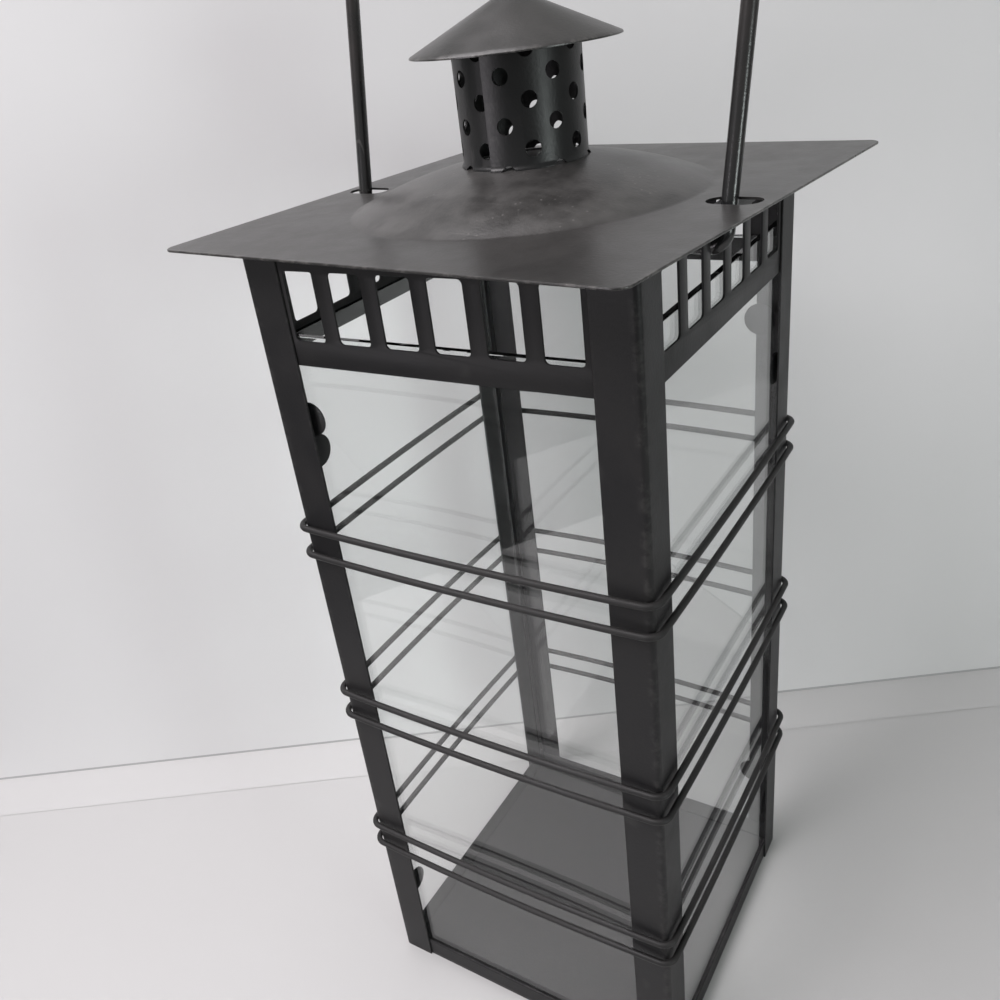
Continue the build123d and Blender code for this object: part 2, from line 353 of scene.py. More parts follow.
# %% Clear glass
clear_glass, tree = new_material("clear_pane")
place = add_node(tree, "ShaderNodeTexCoord").outputs["Object"]
rough = add_node(tree, "ShaderNodeMapRange", {
    "Value": noise(tree, place, 26, 6, 0.7), "From Min": 0.55, "From Max": 0.8, "To Min": 0.0, "To Max": 0.06})
pane = add_node(tree, "ShaderNodeBsdfPrincipled", {
    "Base Color": (0.968, 0.978, 0.973, 1), "Roughness": rough.outputs["Result"],
    "IOR": 1.5, "Transmission Weight": 1.0})
clear = add_node(tree, "ShaderNodeBsdfTransparent", {"Color": (0.96, 0.965, 0.963, 1)})
shadow = add_node(tree, "ShaderNodeLightPath").outputs["Is Shadow Ray"]
glass = add_node(tree, "ShaderNodeMixShader", {0: shadow, 1: pane.outputs[0], 2: clear.outputs[0]})
add_node(tree, "ShaderNodeOutputMaterial", {"Surface": glass.outputs[0]})
print("glass:", clear_glass.name)

# %% [markdown]
# Most sheets here are a stack of closed outlines, one above or inside the other, with faces between them.
# A modifier could thicken a plane instead, but a stack lets every edge be eased and worn by itself.
# The helper joins the outlines and carries a wear value for each of them, or for each of their points.

# %% Helpers for outlines
def as_mesh(name, bm):
    mesh = bpy.data.meshes.new(name)
    bm.to_mesh(mesh)
    bm.free()
    return mesh


def joined_outlines(name, outlines, closed=False):
    # Each outline is (points, wear), and all have equal lengths. The ends are filled, or met when closed.
    bm = bmesh.new()
    layer = bm.verts.layers.float.new("wear")
    rings = []
    for points, wear in outlines:
        ring = [bm.verts.new(Vector(p) * mm) for p in points]
        for vert, amount in zip(ring, wear if isinstance(wear, list) else [wear] * len(ring)):
            vert[layer] = amount
        rings.append(ring)
    pairs = list(zip(rings, rings[1:])) + ([(rings[-1], rings[0])] if closed else [])
    for lower, upper in pairs:
        count = len(lower)
        for i in range(count):
            j = (i + 1) % count
            bm.faces.new((lower[i], lower[j], upper[j], upper[i]))
    if not closed:
        bm.faces.new(rings[0][::-1])
        bm.faces.new(rings[-1])
    bmesh.ops.remove_doubles(bm, verts=bm.verts, dist=1e-6)
    bmesh.ops.recalc_face_normals(bm, faces=bm.faces)
    return as_mesh(name, bm)


def turned(points, degrees):
    spin = Matrix.Rotation(radians(degrees), 3, "Z")
    return [spin @ Vector(p) for p in points]

# %% [markdown]
# A finished mesh becomes a piece that rides on its body and takes the place of its CAD nodes.
# Its faces are shaded smooth, apart from edges that turn by more than a given angle.

# %% Helpers for pieces
def smooth_up_to(mesh, degrees):
    mesh.shade_smooth()
    mesh.set_sharp_from_angle(angle=radians(degrees))


def add_piece(name, mesh, material, body, slot, *nodes):
    mesh.materials.clear()
    mesh.materials.append(material)
    piece = bpy.data.objects.new(name, mesh)
    scene.collection.objects.link(piece)
    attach(piece, body)
    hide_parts(*nodes)
    print(name, "faces:", len(mesh.polygons), "for", ", ".join(nodes))

# %% [markdown]
# Four corner posts carry everything.
# Each is a long strip of sheet folded to an L, and two plain boxes would lose the round of the fold.
# So its outline is drawn once, fold and all, and run up to full height.
# The fold and the two free edges get the wear, because they are what rubs against things.

# %% Corner posts
body_half = 89.0
body_height = 439.2
leg = 19.0
sheet = 1.0
fold = 2.5
ease = 0.25


def post_outline():
    # Points (x, y, wear) once round the section. Run, rear and tip are mirrored to give turn, back and heel.
    inside = body_half - sheet
    bend = body_half - fold
    free = body_half - leg
    outer, inner = [], []
    for i in range(9):
        a = pi / 2 * i / 8
        outer.append((-bend - fold * sin(a), -bend - fold * cos(a), 0.9))
        inner.append((-bend - (fold - sheet) * sin(a), -bend - (fold - sheet) * cos(a), 0.2))
    run = [(-free - ease, -body_half, 0.8), (-free - 1.2, -body_half, 0), (-bend + 2.2, -body_half, 0)]
    turn = [(y, x, w) for x, y, w in reversed(run)]
    rear = [(-inside, -free - ease, 0.5), (-inside, -free - 1.2, 0)]
    back = [(y, x, w) for x, y, w in reversed(rear)]
    tip = [(-body_half + ease, -free, 0.8), (-inside - ease, -free, 0.5)]
    heel = [(y, x, w) for x, y, w in reversed(tip)]
    return run + outer + turn + tip + rear + inner[::-1] + back + heel


corner_turns = {"front_left": 0, "front_right": 90, "rear_right": 180, "rear_left": 270}
outline = post_outline()
for corner, angle in corner_turns.items():
    levels = []
    for z in (0, ease, 8, 200, body_height - ease, body_height):
        foot_wear = 0.5 if z < 1 else 0
        wear = [max(w, foot_wear) for x, y, w in outline]
        levels.append((turned([(x, y, z) for x, y, w in outline], angle), wear))
    mesh = joined_outlines(corner + "_folded_post", levels)
    smooth_up_to(mesh, 40)
    add_piece(corner + "_folded_post", mesh, sheet_black, "body", "satin_black_paint", corner + "_post")

# %% [markdown]
# The base is a shallow square tray with a low rim that stands just inside the posts.
# It is a stack of rounded squares: out along the bottom, up the rim, over its top edge and down again inside.

# %% Base tray
def rounded_square(half, radius, z, arc_steps=8, side_steps=1):
    signs = [(1, 1), (-1, 1), (-1, -1), (1, -1)]

    def on_corner(quarter, a):
        cx, cy = signs[quarter % 4]
        return (half - radius) * cx + radius * cos(a), (half - radius) * cy + radius * sin(a), z

    points = []
    for quarter in range(4):
        points += [on_corner(quarter, pi / 2 * (quarter + i / arc_steps)) for i in range(arc_steps + 1)]
        start, end = points[-1], on_corner(quarter + 1, pi / 2 * (quarter + 1))
        for i in range(1, side_steps):
            t = i / side_steps
            points.append((start[0] + (end[0] - start[0]) * t, start[1] + (end[1] - start[1]) * t, z))
    return points


tray_half = body_half - sheet
tray_corner = 2.0
tray_rim = 12.5
tray_steps = [
    (0.3, 0.0, 0.6), (0.0, 0.3, 0.6), (0.0, 3.0, 0.0), (0.0, tray_rim - 1.5, 0.0), (0.0, tray_rim - 0.3, 0.7),
    (0.3, tray_rim, 0.9), (0.7, tray_rim, 0.9), (1.0, tray_rim - 0.3, 0.5), (1.0, 1.3, 0.0), (1.3, 1.0, 0.0)]
tray_mesh = joined_outlines("shallow_tray", [
    (rounded_square(tray_half - inset, tray_corner - inset, z), wear) for inset, z, wear in tray_steps])
smooth_up_to(tray_mesh, 50)
add_piece("shallow_tray", tray_mesh, sheet_black, "body", "satin_black_paint", "base_tray")

# %% [markdown]
# Four panes slide down inside the posts and stand on the tray.
# Each is a slab with its sharp edges ground off, so a box with a narrow bevel is all it needs.
# They were cut by hand to slightly different heights, which shows through the slots above.

# %% Glass panes
glass_half = 82.55
glass_in, glass_out = 83.8, 86.8
glass_low = 1.0
glass_edge = 0.4
glass_tops = {"front": 401.7, "right": 411.0, "rear": 401.7, "left": 397.0}
side_turns = {"front": 0, "right": 90, "rear": 180, "left": 270}


def slab(name, low, high, ground, degrees):
    bm = bmesh.new()
    bmesh.ops.create_cube(bm, size=1)
    for vert in bm.verts:
        vert.co = Vector([(a if c < 0 else b) * mm for a, b, c in zip(low, high, vert.co)])
    bmesh.ops.bevel(bm, geom=bm.edges[:], offset=ground * mm, segments=2, profile=0.5, affect="EDGES")
    bmesh.ops.recalc_face_normals(bm, faces=bm.faces)
    mesh = as_mesh(name, bm)
    mesh.transform(Matrix.Rotation(radians(degrees), 4, "Z"))
    return mesh


for side, angle in side_turns.items():
    low, high = (-glass_half, -glass_out, glass_low), (glass_half, -glass_in, glass_tops[side])
    pane_mesh = slab(side + "_pane", low, high, glass_edge, angle)
    add_piece(side + "_pane", pane_mesh, clear_glass, "body", "clear_glass", side + "_glass_pane")

# %% [markdown]
# The lantern repeats a few simple things: slots, holes, clips and bent rods.
# Geometry Nodes suit these, because one tree with named sizes makes every copy.
# These helpers start a tree, set copies on points and close the tree with a paint.

# %% Helpers that build a tree
def new_tree(name, inputs):
    tree = bpy.data.node_groups.new(name, "GeometryNodeTree")
    for socket, kind in inputs.items():
        tree.interface.new_socket(name=socket, in_out="INPUT", socket_type="NodeSocket" + kind)
    tree.interface.new_socket(name="Geometry", in_out="OUTPUT", socket_type="NodeSocketGeometry")
    return tree, add_node(tree, "NodeGroupInput").outputs


def copies_on(tree, points, shape):
    # A copy of the shape on each point, turned by the point's own attribute named facing.
    facing = add_node(tree, "GeometryNodeInputNamedAttribute", {"Name": "facing"}, data_type="FLOAT_VECTOR")
    aim = add_node(tree, "FunctionNodeEulerToRotation", {"Euler": facing.outputs["Attribute"]})
    return add_node(tree, "GeometryNodeInstanceOnPoints", {
        "Points": points, "Instance": shape, "Rotation": aim.outputs[0]}).outputs[0]


def finish_tree(tree, geometry, paint):
    real = add_node(tree, "GeometryNodeRealizeInstances", {"Geometry": geometry})
    painted = add_node(tree, "GeometryNodeSetMaterial", {"Geometry": real.outputs[0], "Material": paint})
    add_node(tree, "NodeGroupOutput", {"Geometry": painted.outputs[0]})
    print("tree:", tree.name, "nodes:", len(tree.nodes))

# %% [markdown]
# A tree could stay on its object as a modifier, but later steps such as easing edges work on a plain mesh.
# So it is run once over a plan mesh, and the mesh that comes out is kept.

# %% Helpers that run a tree
def helper_object(name, mesh):
    holder = bpy.data.objects.new(name, mesh)
    scene.collection.objects.link(holder)
    return holder


def grown(name, plan, tree, sizes):
    holder = helper_object(name + "_plan", plan)
    modifier = holder.modifiers.new("grow", "NODES")
    modifier.node_group = tree
    for item in tree.interface.items_tree:
        if item.in_out == "INPUT" and item.name in sizes:
            modifier[item.identifier] = sizes[item.name]
    bpy.context.view_layer.update()
    depsgraph = bpy.context.evaluated_depsgraph_get()
    mesh = bpy.data.meshes.new_from_object(
        holder.evaluated_get(depsgraph), preserve_all_data_layers=True, depsgraph=depsgraph)
    mesh.name = name
    holder.modifiers.remove(modifier)
    bpy.data.objects.remove(holder)
    return mesh


def places_mesh(name, places):
    # Points with a turn for each: (position in millimetres, turn about X, Y and Z in degrees).
    mesh = bpy.data.meshes.new(name)
    mesh.from_pydata([Vector(p) * mm for p, turn in places], [], [])
    facing = mesh.attributes.new("facing", "FLOAT_VECTOR", "POINT")
    for item, (p, turn) in zip(facing.data, places):
        item.vector = [radians(t) for t in turn]
    return mesh

# %% [markdown]
# Slots and holes are punched out of sheet, as on a press.
# One boolean modifier for each hole would be slow to set up and to change.
# The tree sets a punch on every marked place and takes all of them out of the sheet at once.
# The same tree serves the vent slots, the chimney holes and the two slots in the roof.

# %% Tree: punched sheet
punched_sheet, given = new_tree("punched_sheet", {
    "Sheet": "Geometry", "Punch": "Object", "Places": "Object", "Paint": "Material"})
punch = add_node(punched_sheet, "GeometryNodeObjectInfo", {"Object": given["Punch"]})
marks = add_node(punched_sheet, "GeometryNodeObjectInfo", {"Object": given["Places"]})
punches = copies_on(punched_sheet, marks.outputs["Geometry"], punch.outputs["Geometry"])
solid_punches = add_node(punched_sheet, "GeometryNodeRealizeInstances", {"Geometry": punches})
cut = add_node(punched_sheet, "GeometryNodeMeshBoolean", operation="DIFFERENCE", solver="EXACT")
punched_sheet.links.new(given["Sheet"], cut.inputs["Mesh 1"])
punched_sheet.links.new(solid_punches.outputs[0], cut.inputs["Mesh 2"])
finish_tree(punched_sheet, cut.outputs["Mesh"], given["Paint"])


def punched(name, sheet_mesh, punch_mesh, places, paint):
    punch_holder = helper_object(name + "_punch", punch_mesh)
    marks_holder = helper_object(name + "_marks", places_mesh(name + "_marks", places))
    mesh = grown(name, sheet_mesh, punched_sheet, {"Punch": punch_holder, "Places": marks_holder, "Paint": paint})
    for holder in (punch_holder, marks_holder):
        bpy.data.objects.remove(holder)
    return mesh

# %% [markdown]
# A cut leaves edges that are sharper than any real sheet's.
# A narrow bevel gives them a face that catches the light, and those faces are marked as worn.

# %% Helper: eased edges
def eased_edges(mesh, width):
    bm = bmesh.new()
    bm.from_mesh(mesh)
    layer = bm.faces.layers.float.new("wear")
    bmesh.ops.remove_doubles(bm, verts=bm.verts, dist=2e-6)
    bmesh.ops.dissolve_limit(bm, angle_limit=radians(0.2), verts=bm.verts, edges=bm.edges)
    sharp = [e for e in bm.edges if len(e.link_faces) == 2 and e.calc_face_angle() > radians(50)]
    eased = bmesh.ops.bevel(
        bm, geom=sharp, offset=width * mm, segments=2, profile=0.5, affect="EDGES", clamp_overlap=True)
    for face in eased["faces"]:
        face[layer] = 0.8
    print("eased faces:", len(eased["faces"]))
    bm.to_mesh(mesh)
    bm.free()

# %% [markdown]
# Under the roof each side has a vent sheet with six upright slots.
# They are flat, so a slab does for the blank, and the four blanks go through the press together.

# %% Vent friezes
frieze_bottom = 389.0
frieze_half = 86.5
frieze_front, frieze_back = body_half - sheet, body_half - 2 * sheet
slot_middle = 414.95
slot_width, slot_height, slot_corner = 16.2, 29.7, 2.0
slot_pitch = 23.8
slot_shift = -0.4
slot_ease = 0.2
blank_edge = 0.02
punch_depth = 6.0


def rounded_slot(name, width, height, radius, steps):
    outline = []
    for cx, cz, start in ((1, 1, 0), (-1, 1, 90), (-1, -1, 180), (1, -1, 270)):
        for i in range(steps + 1):
            a = radians(start + 90 * i / steps)
            x = (width / 2 - radius) * cx + radius * cos(a)
            outline.append((x, (height / 2 - radius) * cz + radius * sin(a)))
    ends = (-punch_depth / 2, punch_depth / 2)
    return joined_outlines(name, [([(x, y, z) for x, z in outline], 0) for y in ends])


def merged(name, meshes):
    bm = bmesh.new()
    for part in meshes:
        bm.from_mesh(part)
    return as_mesh(name, bm)


blanks, slot_places = [], []
for side, angle in side_turns.items():
    low, high = (-frieze_half, -frieze_front, frieze_bottom), (frieze_half, -frieze_back, body_height)
    blanks.append(slab(side + "_blank", low, high, blank_edge, angle))
    row = [(slot_shift + (i - 2.5) * slot_pitch, -body_half + 1.5 * sheet, slot_middle) for i in range(6)]
    slot_places += [(p, (0, 0, angle)) for p in turned(row, angle)]
slot_punch = rounded_slot("slot_punch", slot_width, slot_height, slot_corner, steps=4)
frieze_mesh = punched("vent_friezes", merged("frieze_blanks", blanks), slot_punch, slot_places, sheet_black)
eased_edges(frieze_mesh, slot_ease)
smooth_up_to(frieze_mesh, 40)
add_piece("vent_friezes", frieze_mesh, sheet_black, "body", "satin_black_paint",
          *[side + "_vent_frieze" for side in side_turns])

# %% [markdown]
# Things that only repeat, with nothing cut, need a simpler tree.
# It sets a copy of one shape on each marked place.

# %% Tree: set out copies
set_out, given = new_tree("set_out", {"Places": "Geometry", "Copy": "Object", "Paint": "Material"})
copy = add_node(set_out, "GeometryNodeObjectInfo", {"Object": given["Copy"]})
finish_tree(set_out, copies_on(set_out, given["Places"], copy.outputs["Geometry"]), given["Paint"])

# %% [markdown]
# Round spring clips inside two of the posts hold the panes, and a little of each shows past the post's edge.
# One clip is made, a pressed disc with a bent tab, and the tree sets seven of them in place.

# %% Glass clips
near_axis = 0.001
clip_radius = 8.0
clip_half = 0.4
clip_middle = 83.35
clip_across = 73.2
tab_root, tab_foot, tab_half = -5, -2.85, 4
tab_end = clip_across - body_half + sheet
clip_heights = {"front": (362.0,), "right": (45.5, 340.0), "rear": (59.5, 361.0), "left": (45.5, 340.0)}


def spun(name, profile, steps):
    # Turns a profile of (radius, height, wear) points about the upright axis.
    outlines = []
    for radius, z, wear in profile:
        ring = [(radius * cos(2 * pi * i / steps), radius * sin(2 * pi * i / steps), z) for i in range(steps)]
        outlines.append((ring, wear))
    return joined_outlines(name, outlines)


disc = spun("clip_disc", [
    (near_axis, -clip_half, 0), (clip_radius - 0.3, -clip_half, 0), (clip_radius - 0.05, -0.3, 0.5),
    (clip_radius, 0, 0.8),
    (clip_radius - 0.05, 0.3, 0.5), (clip_radius - 0.3, clip_half, 0), (near_axis, clip_half, 0)], 36)
disc.transform(Matrix.Rotation(radians(90), 4, "X"))
strip = [(tab_root, -clip_half), (tab_end + 2 * clip_half, -clip_half), (tab_end + 2 * clip_half, tab_foot),
         (tab_end, tab_foot), (tab_end, 0.0), (tab_end + clip_half, clip_half), (tab_root, clip_half)]
tab = joined_outlines("clip_tab", [([(x, y, z) for x, y in strip], 0) for z in (-tab_half, tab_half)])
clip_shape = helper_object("clip_shape", merged("clip_shape", [disc, tab]))
clip_spots = []
for side, angle in side_turns.items():
    across, flip = (clip_across, 180) if side in ("left", "right") else (-clip_across, 0)
    spots = turned([(across, -clip_middle, z) for z in clip_heights[side]], angle)
    clip_spots += [(spot, (0, flip, angle)) for spot in spots]
clip_marks = places_mesh("clip_marks", clip_spots)
clip_mesh = grown("glass_clips", clip_marks, set_out, {"Copy": clip_shape, "Paint": sheet_black})
bpy.data.objects.remove(clip_shape)
smooth_up_to(clip_mesh, 40)
add_piece("glass_clips", clip_mesh, sheet_black, "body", "satin_black_paint",
          *[side + "_glass_clips" for side in side_turns])

# %% [markdown]
# Wire bands and the carrying bail are round rod with bent corners.
# The tree takes a path of straight runs and rounds each corner by the radius stored on that point.
# Then it sweeps a circle along the path.
# A Bezier curve could be drawn instead, but here each bend has a radius in millimetres, as in a bending jig.

# %% Tree: bent rod
bent_rod, given = new_tree("bent_rod", {
    "Path": "Geometry", "Rod Diameter": "Float", "Bend Steps": "Int", "Sides": "Int", "Paint": "Material"})
line = add_node(bent_rod, "GeometryNodeMeshToCurve", {"Mesh": given["Path"]})
bend = add_node(bent_rod, "GeometryNodeInputNamedAttribute", {"Name": "bend"}, data_type="FLOAT")
rounded = add_node(bent_rod, "GeometryNodeFilletCurve", {
    "Curve": line.outputs[0], "Count": given["Bend Steps"], "Radius": bend.outputs["Attribute"]}, mode="POLY")
section = add_node(bent_rod, "GeometryNodeCurvePrimitiveCircle", {
    "Resolution": given["Sides"], "Radius": times(bent_rod, given["Rod Diameter"], 0.5)})
swept = add_node(bent_rod, "GeometryNodeCurveToMesh", {
    "Curve": rounded.outputs[0], "Profile Curve": section.outputs[0], "Fill Caps": True})
finish_tree(bent_rod, swept.outputs[0], given["Paint"])

# %% [markdown]
# The paths that go into this tree are meshes of points and edges alone.
# What comes out is turned so that all its faces look outward.

# %% Helpers for rods
def rod_path(name, runs):
    # Each run is a list of (point, bend radius) and says whether it closes on itself.
    points, edges, bends = [], [], []
    for corners, closes in runs:
        first = len(points)
        points += [Vector(p) * mm for p, r in corners]
        bends += [r * mm for p, r in corners]
        edges += [(first + i, first + i + 1) for i in range(len(corners) - 1)]
        if closes:
            edges.append((len(points) - 1, first))
    mesh = bpy.data.meshes.new(name)
    mesh.from_pydata(points, edges, [])
    layer = mesh.attributes.new("bend", "FLOAT", "POINT")
    for item, r in zip(layer.data, bends):
        item.value = r
    return mesh


def outward(mesh):
    bm = bmesh.new()
    bm.from_mesh(mesh)
    bmesh.ops.remove_doubles(bm, verts=bm.verts, dist=1e-6)
    bmesh.ops.recalc_face_normals(bm, faces=bm.faces)
    bm.to_mesh(mesh)
    bm.free()

# %% [markdown]
# Three pairs of wire bands run round the posts.
# Each is a square with rounded corners that touches the posts at their folds.
# The wire was bent by hand, so each run bows out a little: it follows a flat arc through the two corners.

# %% Wire bands
band_heights = {
    "bottom_lower": 93.7, "bottom_upper": 107.4, "middle_lower": 190.6,
    "middle_upper": 205.8, "top_lower": 291.5, "top_upper": 306.1}
band_wire = 3.2
band_reach = 91.3
band_bend = 6.297
band_bows = {"front": 2.0, "right": 0.8, "rear": 4.0, "left": 1.9}


def bowed_run(bow, steps=12):
    # One side of a band from corner to corner, with a bend to round at the corner and none along the arc.
    arc = (band_reach ** 2 + bow ** 2) / (2 * bow)
    run = []
    for i in range(steps):
        x = band_reach * (2 * i / steps - 1)
        run.append(((x, -band_reach - bow + arc - sqrt(arc ** 2 - x ** 2), 0), 0 if i else band_bend))
    return run


loops = []
for z in band_heights.values():
    loop = []
    for side, angle in side_turns.items():
        run = bowed_run(band_bows[side])
        spots = turned([p for p, r in run], angle)
        loop += [(spot + Vector((0, 0, z)), r) for spot, (p, r) in zip(spots, run)]
    loops.append((loop, True))
band_mesh = grown("wire_bands", rod_path("band_path", loops), bent_rod,
                  {"Rod Diameter": band_wire * mm, "Bend Steps": 10, "Sides": 20, "Paint": wire_black})
outward(band_mesh)
smooth_up_to(band_mesh, 40)
add_piece("wire_bands", band_mesh, wire_black, "body", "black_rod", *[name + "_band" for name in band_heights])

# %% [markdown]
# The bail is one length of thicker rod.
# It is drawn upright in its own plane, with its two feet turned in.
# Then it is leaned back and turned as it hangs in the vent slots.

# %% Bail
bail_rod = 6.4
bail_left, bail_right = -100.7, 92.3
bail_foot = 76.0
shoulder_height, bail_top = 165.0, 185.0
foot_bend, shoulder_bend, top_bend = 6.4, 60, 200
bail_splay, bail_turn, bail_lean = 1.5, -7.1, -10
spread_out = shoulder_height * tan(radians(bail_splay))
hook_set, hook_height = -3.1, 423.2
bail_corners = [
    ((-bail_foot, 0, 0), 0),
    ((bail_left, 0, 0), foot_bend),
    ((bail_left - spread_out, 0, shoulder_height), shoulder_bend),
    (((bail_left + bail_right) / 2, 0, bail_top), top_bend),
    ((bail_right + spread_out, 0, shoulder_height), shoulder_bend),
    ((bail_right, 0, 0), foot_bend),
    ((bail_foot, 0, 0), 0)]
bail_mesh = grown("carrying_bail", rod_path("bail_path", [(bail_corners, False)]), bent_rod,
                  {"Rod Diameter": bail_rod * mm, "Bend Steps": 16, "Sides": 32, "Paint": rod_black})
bail_spin = Matrix.Rotation(radians(bail_turn), 4, "Z")
hang = Matrix.Translation(Vector((0, hook_set, hook_height)) * mm) @ bail_spin
bail_mesh.transform(hang @ Matrix.Rotation(radians(bail_lean), 4, "X"))
outward(bail_mesh)
smooth_up_to(bail_mesh, 50)
add_piece("carrying_bail", bail_mesh, rod_black, "bail", "black_rod", "bail_handle")

# %% [markdown]
# The roof is one square sheet with a shallow dome pressed into it and a draught hole under the chimney.
# A plane could be pulled up into a dome, but outlines keep the dome round and the rim square.
# They go from the hole out over the dome, along the flat, round the rim and back underneath.
# The dome's foot is a soft curve, as a press leaves it.

# %% Roof outlines
roof_turn = -5.9
roof_bottom, roof_top = 439.5, 440.5
roof_sheet = roof_top - roof_bottom
roof_half = 111.8
roof_corner = 5.5
draught_radius = 23.0
ball = 193.343
ball_centre = 263.457
dome_blend = 5.0
blend_middle = sqrt((ball + dome_blend) ** 2 - (roof_top + dome_blend - ball_centre) ** 2)
blend_start = blend_middle * ball / (ball + dome_blend)
rim = rounded_square(roof_half, roof_corner, 0, arc_steps=10, side_steps=28)


def dome_height(r):
    if r >= blend_middle:
        return roof_top
    if r >= blend_start:
        return roof_top + dome_blend - sqrt(dome_blend ** 2 - (blend_middle - r) ** 2)
    return ball_centre + sqrt(ball ** 2 - r ** 2)


def roof_ring(reach=None, inset=None, z=None, wear=0.0, under=0.0):
    # A circle of the given reach on the dome, or the rim drawn in by an inset.
    ring = []
    for x, y, _ in rim:
        far = hypot(x, y)
        r = reach if inset is None else far - inset
        height = (dome_height(r) if z is None else z) - under
        ring.append((x / far * r, y / far * r, height))
    return turned(ring, roof_turn), wear


def part_way(first, second, share):
    return [a.lerp(b, share) for a, b in zip(first[0], second[0])], 0.0


print("dome foot from", round(blend_start, 2), "to", round(blend_middle, 2), "mm")

# %% [markdown]
# The rings are now strung together into one closed sheet, and the press cuts the bail's two slots out of it.
# Dust gathers on the dome, so its points get the attribute that asks the finish for more.

# %% Roof plate
brink_inset = 3.0
bail_slot_reach, bail_slot_set = 95.75, 0.45
bail_slot_length, bail_slot_width, bail_slot_corner = 22.0, 12.5, 6.249
dust_fade = 4
dome_radii = [draught_radius + 0.25, 24, 26, 28]
dome_radii += [28 + (blend_start - 28) * i / 16 for i in range(1, 17)]
dome_radii += [blend_start + (blend_middle - blend_start) * i / 5 for i in range(1, 6)]
over = [roof_ring(reach=r) for r in dome_radii]
brink = roof_ring(inset=brink_inset, z=roof_top)
flat = [part_way(over[-1], brink, i / 6) for i in range(1, 6)]
edge_ring = [roof_ring(inset=i, z=z, wear=w) for i, z, w in (
    (0.6, roof_top, 0.6), (0.3, roof_top, 0.9), (0.09, roof_top - 0.09, 1.0), (0.0, roof_top - 0.3, 1.0),
    (0.0, roof_bottom + 0.3, 1.0), (0.09, roof_bottom + 0.09, 1.0), (0.3, roof_bottom, 0.9),
    (0.6, roof_bottom, 0.5))]
under_brink = roof_ring(inset=brink_inset, z=roof_bottom)
under_foot = roof_ring(reach=blend_middle, under=roof_sheet)
under_flat = [part_way(under_brink, under_foot, i / 3) for i in range(1, 3)]
under_dome = [roof_ring(reach=r, under=roof_sheet) for r in reversed(dome_radii)]
hole_edge = [roof_ring(reach=draught_radius, under=depth) for depth in (0.75, 0.25)]
roof_rings = over + flat + [brink] + edge_ring + [under_brink] + under_flat + under_dome + hole_edge
roof_blank = joined_outlines("roof_blank", roof_rings, closed=True)

bail_spot = Matrix.Translation(Vector((0, hook_set, (roof_bottom + roof_top) / 2))) @ bail_spin
slot_spots = []
for side in (-1, 1):
    spot = bail_spot @ Vector((side * bail_slot_reach, bail_slot_set, 0))
    slot_spots.append((spot, (90, 0, bail_turn)))
bail_slot_punch = rounded_slot("bail_slot_punch", bail_slot_length, bail_slot_width, bail_slot_corner, steps=10)
roof_mesh = punched("domed_roof", roof_blank, bail_slot_punch, slot_spots, roof_black)
smooth_up_to(roof_mesh, 32)
dusty = roof_mesh.attributes.new("dusty", "FLOAT", "POINT")
for item, vert in zip(dusty.data, roof_mesh.vertices):
    reach = hypot(vert.co.x, vert.co.y) / mm
    item.value = max(0, min(1, (blend_middle - reach) / dust_fade))
add_piece("domed_roof", roof_mesh, roof_black, "roof", "satin_black_paint", "roof_plate")

# %% [markdown]
# The chimney is a strip of sheet rolled round until one end laps over the other, so a step runs up its front.
# A plain cylinder would have no seam, so the strip is built as a spiral wall with a small flare at its foot.
# The end that lies on top springs away a little, and beside it a paler strip, partly rubbed paint and partly a
# painted highlight, draws the seam.

# %% Rolled strip
tube_seam = -85.0 + roof_turn
tube_top = 505.517
tube_foot = 454.95
tube_outer = 26.8
tube_sheet = 0.8
tube_turns = 374.0
outer_middle, inner_middle = tube_foot + 25, 470.0
seat_gap = 0.06
foot_flare = [(0.0, 0.8), (0.5, 0.75), (0.9, 0.45), (1.3, 0.15), (2.0, 0.0)]


def wall_radius(turn):
    # Outer face of the strip at a turn in degrees from the seam. The first half lies on top of the lap.
    # The end on top springs out by 0.35 mm, and the end below is tucked in by 0.5 mm.
    half_sheet = tube_sheet / 2
    if turn < 180:
        a = radians(turn)
        spring = 0.35 * max(0, 1 - turn / 20) ** 2
        return half_sheet * cos(a) + sqrt(tube_outer ** 2 - (half_sheet * sin(a)) ** 2) + spring
    tuck = 0.5 * min(1, max(0, (turn - 335) / 20))
    return tube_outer - half_sheet - 0.08 * (turn - 180) / (tube_turns - 180) - tuck


def dome_seat(r):
    return ball_centre + sqrt(ball ** 2 - r ** 2) + seat_gap


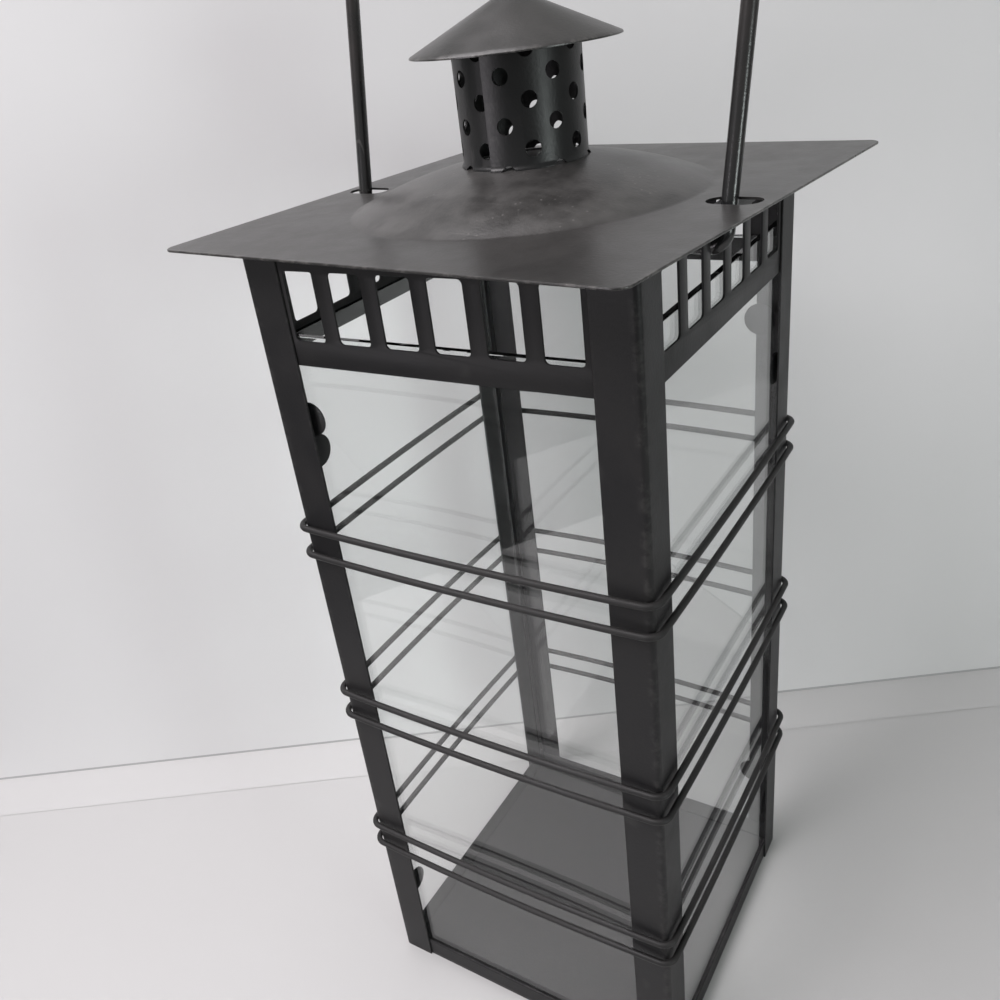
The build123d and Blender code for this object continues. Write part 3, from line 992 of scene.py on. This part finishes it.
def rolled_strip(name, step):
    bm = bmesh.new()
    layer = bm.verts.layers.float.new("wear")
    columns = []
    count = round(tube_turns / step)
    for i in range(count + 1):
        turn = tube_turns * i / count
        a = radians(turn + tube_seam)
        out = wall_radius(turn)
        inner = out - tube_sheet
        spread_foot = [(out + (extra if turn <= 360 else 0), rise) for rise, extra in foot_flare]
        section = [(r, dome_seat(r) + rise) for r, rise in spread_foot]
        section += [(out, outer_middle), (out, tube_top)]
        section += [(inner, tube_top), (inner, inner_middle), (inner, dome_seat(inner))]
        column = [bm.verts.new(Vector((r * cos(a), r * sin(a), z)) * mm) for r, z in section]
        # A paler strip a few millimetres wide beside the top end: partly rubbed paint, partly a painted
        # highlight. The end face itself is left unrubbed.
        rubbed_and_highlight = 0.3 * min(1, turn / 2) * max(0, 1 - turn / 14)
        for vert in column:
            vert[layer] = rubbed_and_highlight
        columns.append(column)
    for left, right in zip(columns, columns[1:]):
        for i in range(len(left)):
            j = (i + 1) % len(left)
            bm.faces.new((left[i], right[i], right[j], left[j]))
    bm.faces.new(columns[0])
    bm.faces.new(columns[-1][::-1])
    bmesh.ops.recalc_face_normals(bm, faces=bm.faces)
    if bm.calc_volume(signed=True) < 0:
        bmesh.ops.reverse_faces(bm, faces=bm.faces)
    return as_mesh(name, bm)


strip_mesh = rolled_strip("chimney_strip", 2.0)
print("strip faces:", len(strip_mesh.polygons))

# %% [markdown]
# The chimney lets the heat out through six staggered rows of eight holes.
# The press punches them, with a round punch that points outward at each place.

# %% Chimney tube
hole_radius = 3.25
hole_reach = tube_outer - tube_sheet / 2
lowest_row, row_rise, row_count = 453.504, 9.05, 6
first_hole, hole_step = 21.0, 45
drill = spun("hole_punch", [(near_axis, -5, 0), (hole_radius, -5, 0), (hole_radius, 5, 0), (near_axis, 5, 0)], 20)
drill.transform(Matrix.Rotation(radians(90), 4, "Y"))
hole_spots = []
for row in range(row_count):
    for i in range(8):
        angle = roof_turn + first_hole - hole_step / 2 * (row % 2) + hole_step * i
        a = radians(angle)
        spot = (hole_reach * cos(a), hole_reach * sin(a), lowest_row + row_rise * row)
        hole_spots.append((spot, (0, 0, angle)))
tube_mesh = punched("chimney", strip_mesh, drill, hole_spots, chimney_black)
smooth_up_to(tube_mesh, 35)
add_piece("chimney", tube_mesh, chimney_black, "roof", "satin_black_paint", "chimney_tube")

# %% [markdown]
# The cap is a shallow cone with a blunt tip that keeps rain out of the chimney.
# A ready-made cone has neither the blunt tip nor a sheet's thickness, so the cap is spun from its profile.
# Its rim is eased top and bottom, and the inside is the same cone a little lower.

# %% Chimney cap
cap_rim, cap_apex, cap_radius = 499.1, 519.5, 43.2
cap_sheet = 0.9
slope = (cap_apex - cap_rim) / cap_radius
tip = 8.0
tip_reach = tip * slope / sqrt(1 + slope ** 2)
tip_centre = cap_apex - tip * (sqrt(1 + slope ** 2) - 1) - tip
near_rim = cap_radius - 2.5


def on_cone(r, drop=0.0, wear=0.0):
    return r, cap_apex - slope * r - drop, wear


crown = []
for i in range(7):
    r = tip_reach * i / 6
    crown.append((max(r, near_axis), tip_centre + sqrt(tip ** 2 - r ** 2), 0))
cone = [on_cone(tip_reach + (near_rim - tip_reach) * i / 8) for i in range(1, 9)]
rim_edge = [on_cone(cap_radius - 0.3, wear=0.8), (cap_radius, cap_rim - 0.2, 1.0),
            (cap_radius, cap_rim - 0.65, 1.0), on_cone(cap_radius - 0.3, cap_sheet, 0.8)]
inside = [on_cone(near_rim, cap_sheet), on_cone(tip_reach, cap_sheet),
          (near_axis, cap_apex - slope * tip_reach - 0.2, 0)]
cap_mesh = spun("cone_cap", crown + cone + rim_edge + inside, 128)
smooth_up_to(cap_mesh, 35)
add_piece("cone_cap", cap_mesh, roof_black, "roof", "satin_black_paint", "chimney_cap")
